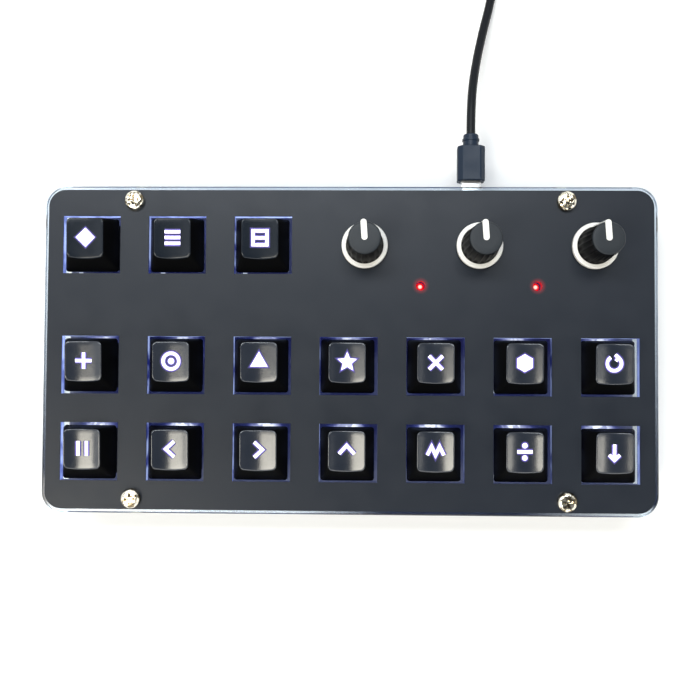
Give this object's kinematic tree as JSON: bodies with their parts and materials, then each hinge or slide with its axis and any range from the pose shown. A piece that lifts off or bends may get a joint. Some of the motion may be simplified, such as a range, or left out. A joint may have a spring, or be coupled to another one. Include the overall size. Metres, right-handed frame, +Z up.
{
  "type": "macro keypad",
  "caption": "Flat desktop macro keypad: backlit black keycaps in a black-filmed clear panel, fluted turning knobs with white pointers, open standoff sandwich and a USB lead.",
  "frame": {"origin": "centre of the keypad's outline on the desk, under the feet", "axes": "+X to the right along the key rows, +Y to the back edge where the lead leaves, +Z up"},
  "size_m": [0.206, 0.2497, 0.0441],
  "materials": {
    "clear_acrylic": "polished clear acrylic",
    "black_film": "matt black overlay film",
    "foot_rubber": "matt",
    "board": "white solder mask over glass-fibre board",
    "nickel": "nickel plated",
    "switch_plastic": "fine moulded",
    "spring_steel": "bright wire",
    "lamp_lens": "clear lens",
    "plated_metal": "tin plated",
    "lead_plastic": "fine moulded",
    "lead_jacket": "satin",
    "keycap_plastic": "satin black with lit legends",
    "stem_plastic": "slippery moulded",
    "knob_plastic": "soft satin black",
    "pointer_plastic": "white moulded"
  },
  "bodies": {
    "chassis": {"face_panel": "clear_acrylic", "face_film": "black_film", "base_plate": "clear_acrylic", "rubber_feet": "foot_rubber", "circuit_board": "board", "standoffs": "nickel", "screws": "nickel", "switch_bases": "switch_plastic", "switch_covers": "switch_plastic", "switch_springs": "spring_steel", "leds": "lamp_lens", "encoder_bodies": "plated_metal", "usb_socket": "plated_metal", "micro_usb_plug": "lead_plastic", "cable": "lead_jacket", "cable_coil": "lead_jacket", "usb_a_plug": "lead_plastic"},
    "key_r1c1": {"keycap_r1c1": "keycap_plastic", "stem_r1c1": "stem_plastic"},
    "key_r1c2": {"keycap_r1c2": "keycap_plastic", "stem_r1c2": "stem_plastic"},
    "key_r1c3": {"keycap_r1c3": "keycap_plastic", "stem_r1c3": "stem_plastic"},
    "key_r2c1": {"keycap_r2c1": "keycap_plastic", "stem_r2c1": "stem_plastic"},
    "key_r2c2": {"keycap_r2c2": "keycap_plastic", "stem_r2c2": "stem_plastic"},
    "key_r2c3": {"keycap_r2c3": "keycap_plastic", "stem_r2c3": "stem_plastic"},
    "key_r2c4": {"keycap_r2c4": "keycap_plastic", "stem_r2c4": "stem_plastic"},
    "key_r2c5": {"keycap_r2c5": "keycap_plastic", "stem_r2c5": "stem_plastic"},
    "key_r2c6": {"keycap_r2c6": "keycap_plastic", "stem_r2c6": "stem_plastic"},
    "key_r2c7": {"keycap_r2c7": "keycap_plastic", "stem_r2c7": "stem_plastic"},
    "key_r3c1": {"keycap_r3c1": "keycap_plastic", "stem_r3c1": "stem_plastic"},
    "key_r3c2": {"keycap_r3c2": "keycap_plastic", "stem_r3c2": "stem_plastic"},
    "key_r3c3": {"keycap_r3c3": "keycap_plastic", "stem_r3c3": "stem_plastic"},
    "key_r3c4": {"keycap_r3c4": "keycap_plastic", "stem_r3c4": "stem_plastic"},
    "key_r3c5": {"keycap_r3c5": "keycap_plastic", "stem_r3c5": "stem_plastic"},
    "key_r3c6": {"keycap_r3c6": "keycap_plastic", "stem_r3c6": "stem_plastic"},
    "key_r3c7": {"keycap_r3c7": "keycap_plastic", "stem_r3c7": "stem_plastic"},
    "knob_left": {"knob_left": "knob_plastic", "knob_pointer_left": "pointer_plastic", "encoder_shaft_left": "plated_metal"},
    "knob_middle": {"knob_middle": "knob_plastic", "knob_pointer_middle": "pointer_plastic", "encoder_shaft_middle": "plated_metal"},
    "knob_right": {"knob_right": "knob_plastic", "knob_pointer_right": "pointer_plastic", "encoder_shaft_right": "plated_metal"}
  },
  "joints": [
    {"name": "key_r1c1_press", "type": "slide", "parent": "chassis", "child": "key_r1c1", "axis": [0, 0, -1], "range_m": [0, 0.004], "stiffness_N_per_m": 75, "springref_m": -0.006, "deforming": ["switch_springs"]},
    {"name": "key_r1c2_press", "type": "slide", "parent": "chassis", "child": "key_r1c2", "axis": [0, 0, -1], "range_m": [0, 0.004], "stiffness_N_per_m": 75, "springref_m": -0.006, "deforming": ["switch_springs"]},
    {"name": "key_r1c3_press", "type": "slide", "parent": "chassis", "child": "key_r1c3", "axis": [0, 0, -1], "range_m": [0, 0.004], "stiffness_N_per_m": 75, "springref_m": -0.006, "deforming": ["switch_springs"]},
    {"name": "key_r2c1_press", "type": "slide", "parent": "chassis", "child": "key_r2c1", "axis": [0, 0, -1], "range_m": [0, 0.004], "stiffness_N_per_m": 75, "springref_m": -0.006, "deforming": ["switch_springs"]},
    {"name": "key_r2c2_press", "type": "slide", "parent": "chassis", "child": "key_r2c2", "axis": [0, 0, -1], "range_m": [0, 0.004], "stiffness_N_per_m": 75, "springref_m": -0.006, "deforming": ["switch_springs"]},
    {"name": "key_r2c3_press", "type": "slide", "parent": "chassis", "child": "key_r2c3", "axis": [0, 0, -1], "range_m": [0, 0.004], "stiffness_N_per_m": 75, "springref_m": -0.006, "deforming": ["switch_springs"]},
    {"name": "key_r2c4_press", "type": "slide", "parent": "chassis", "child": "key_r2c4", "axis": [0, 0, -1], "range_m": [0, 0.004], "stiffness_N_per_m": 75, "springref_m": -0.006, "deforming": ["switch_springs"]},
    {"name": "key_r2c5_press", "type": "slide", "parent": "chassis", "child": "key_r2c5", "axis": [0, 0, -1], "range_m": [0, 0.004], "stiffness_N_per_m": 75, "springref_m": -0.006, "deforming": ["switch_springs"]},
    {"name": "key_r2c6_press", "type": "slide", "parent": "chassis", "child": "key_r2c6", "axis": [0, 0, -1], "range_m": [0, 0.004], "stiffness_N_per_m": 75, "springref_m": -0.006, "deforming": ["switch_springs"]},
    {"name": "key_r2c7_press", "type": "slide", "parent": "chassis", "child": "key_r2c7", "axis": [0, 0, -1], "range_m": [0, 0.004], "stiffness_N_per_m": 75, "springref_m": -0.006, "deforming": ["switch_springs"]},
    {"name": "key_r3c1_press", "type": "slide", "parent": "chassis", "child": "key_r3c1", "axis": [0, 0, -1], "range_m": [0, 0.004], "stiffness_N_per_m": 75, "springref_m": -0.006, "deforming": ["switch_springs"]},
    {"name": "key_r3c2_press", "type": "slide", "parent": "chassis", "child": "key_r3c2", "axis": [0, 0, -1], "range_m": [0, 0.004], "stiffness_N_per_m": 75, "springref_m": -0.006, "deforming": ["switch_springs"]},
    {"name": "key_r3c3_press", "type": "slide", "parent": "chassis", "child": "key_r3c3", "axis": [0, 0, -1], "range_m": [0, 0.004], "stiffness_N_per_m": 75, "springref_m": -0.006, "deforming": ["switch_springs"]},
    {"name": "key_r3c4_press", "type": "slide", "parent": "chassis", "child": "key_r3c4", "axis": [0, 0, -1], "range_m": [0, 0.004], "stiffness_N_per_m": 75, "springref_m": -0.006, "deforming": ["switch_springs"]},
    {"name": "key_r3c5_press", "type": "slide", "parent": "chassis", "child": "key_r3c5", "axis": [0, 0, -1], "range_m": [0, 0.004], "stiffness_N_per_m": 75, "springref_m": -0.006, "deforming": ["switch_springs"]},
    {"name": "key_r3c6_press", "type": "slide", "parent": "chassis", "child": "key_r3c6", "axis": [0, 0, -1], "range_m": [0, 0.004], "stiffness_N_per_m": 75, "springref_m": -0.006, "deforming": ["switch_springs"]},
    {"name": "key_r3c7_press", "type": "slide", "parent": "chassis", "child": "key_r3c7", "axis": [0, 0, -1], "range_m": [0, 0.004], "stiffness_N_per_m": 75, "springref_m": -0.006, "deforming": ["switch_springs"]},
    {"name": "knob_left_turn", "type": "hinge", "parent": "chassis", "child": "knob_left", "pos_m": [0.00515, 0.0349, 0.0269], "axis": [0, 0, 1], "continuous": true},
    {"name": "knob_middle_turn", "type": "hinge", "parent": "chassis", "child": "knob_middle", "pos_m": [0.04345, 0.0349, 0.0269], "axis": [0, 0, 1], "continuous": true},
    {"name": "knob_right_turn", "type": "hinge", "parent": "chassis", "child": "knob_right", "pos_m": [0.08175, 0.0349, 0.0269], "axis": [0, 0, 1], "continuous": true}
  ]
}
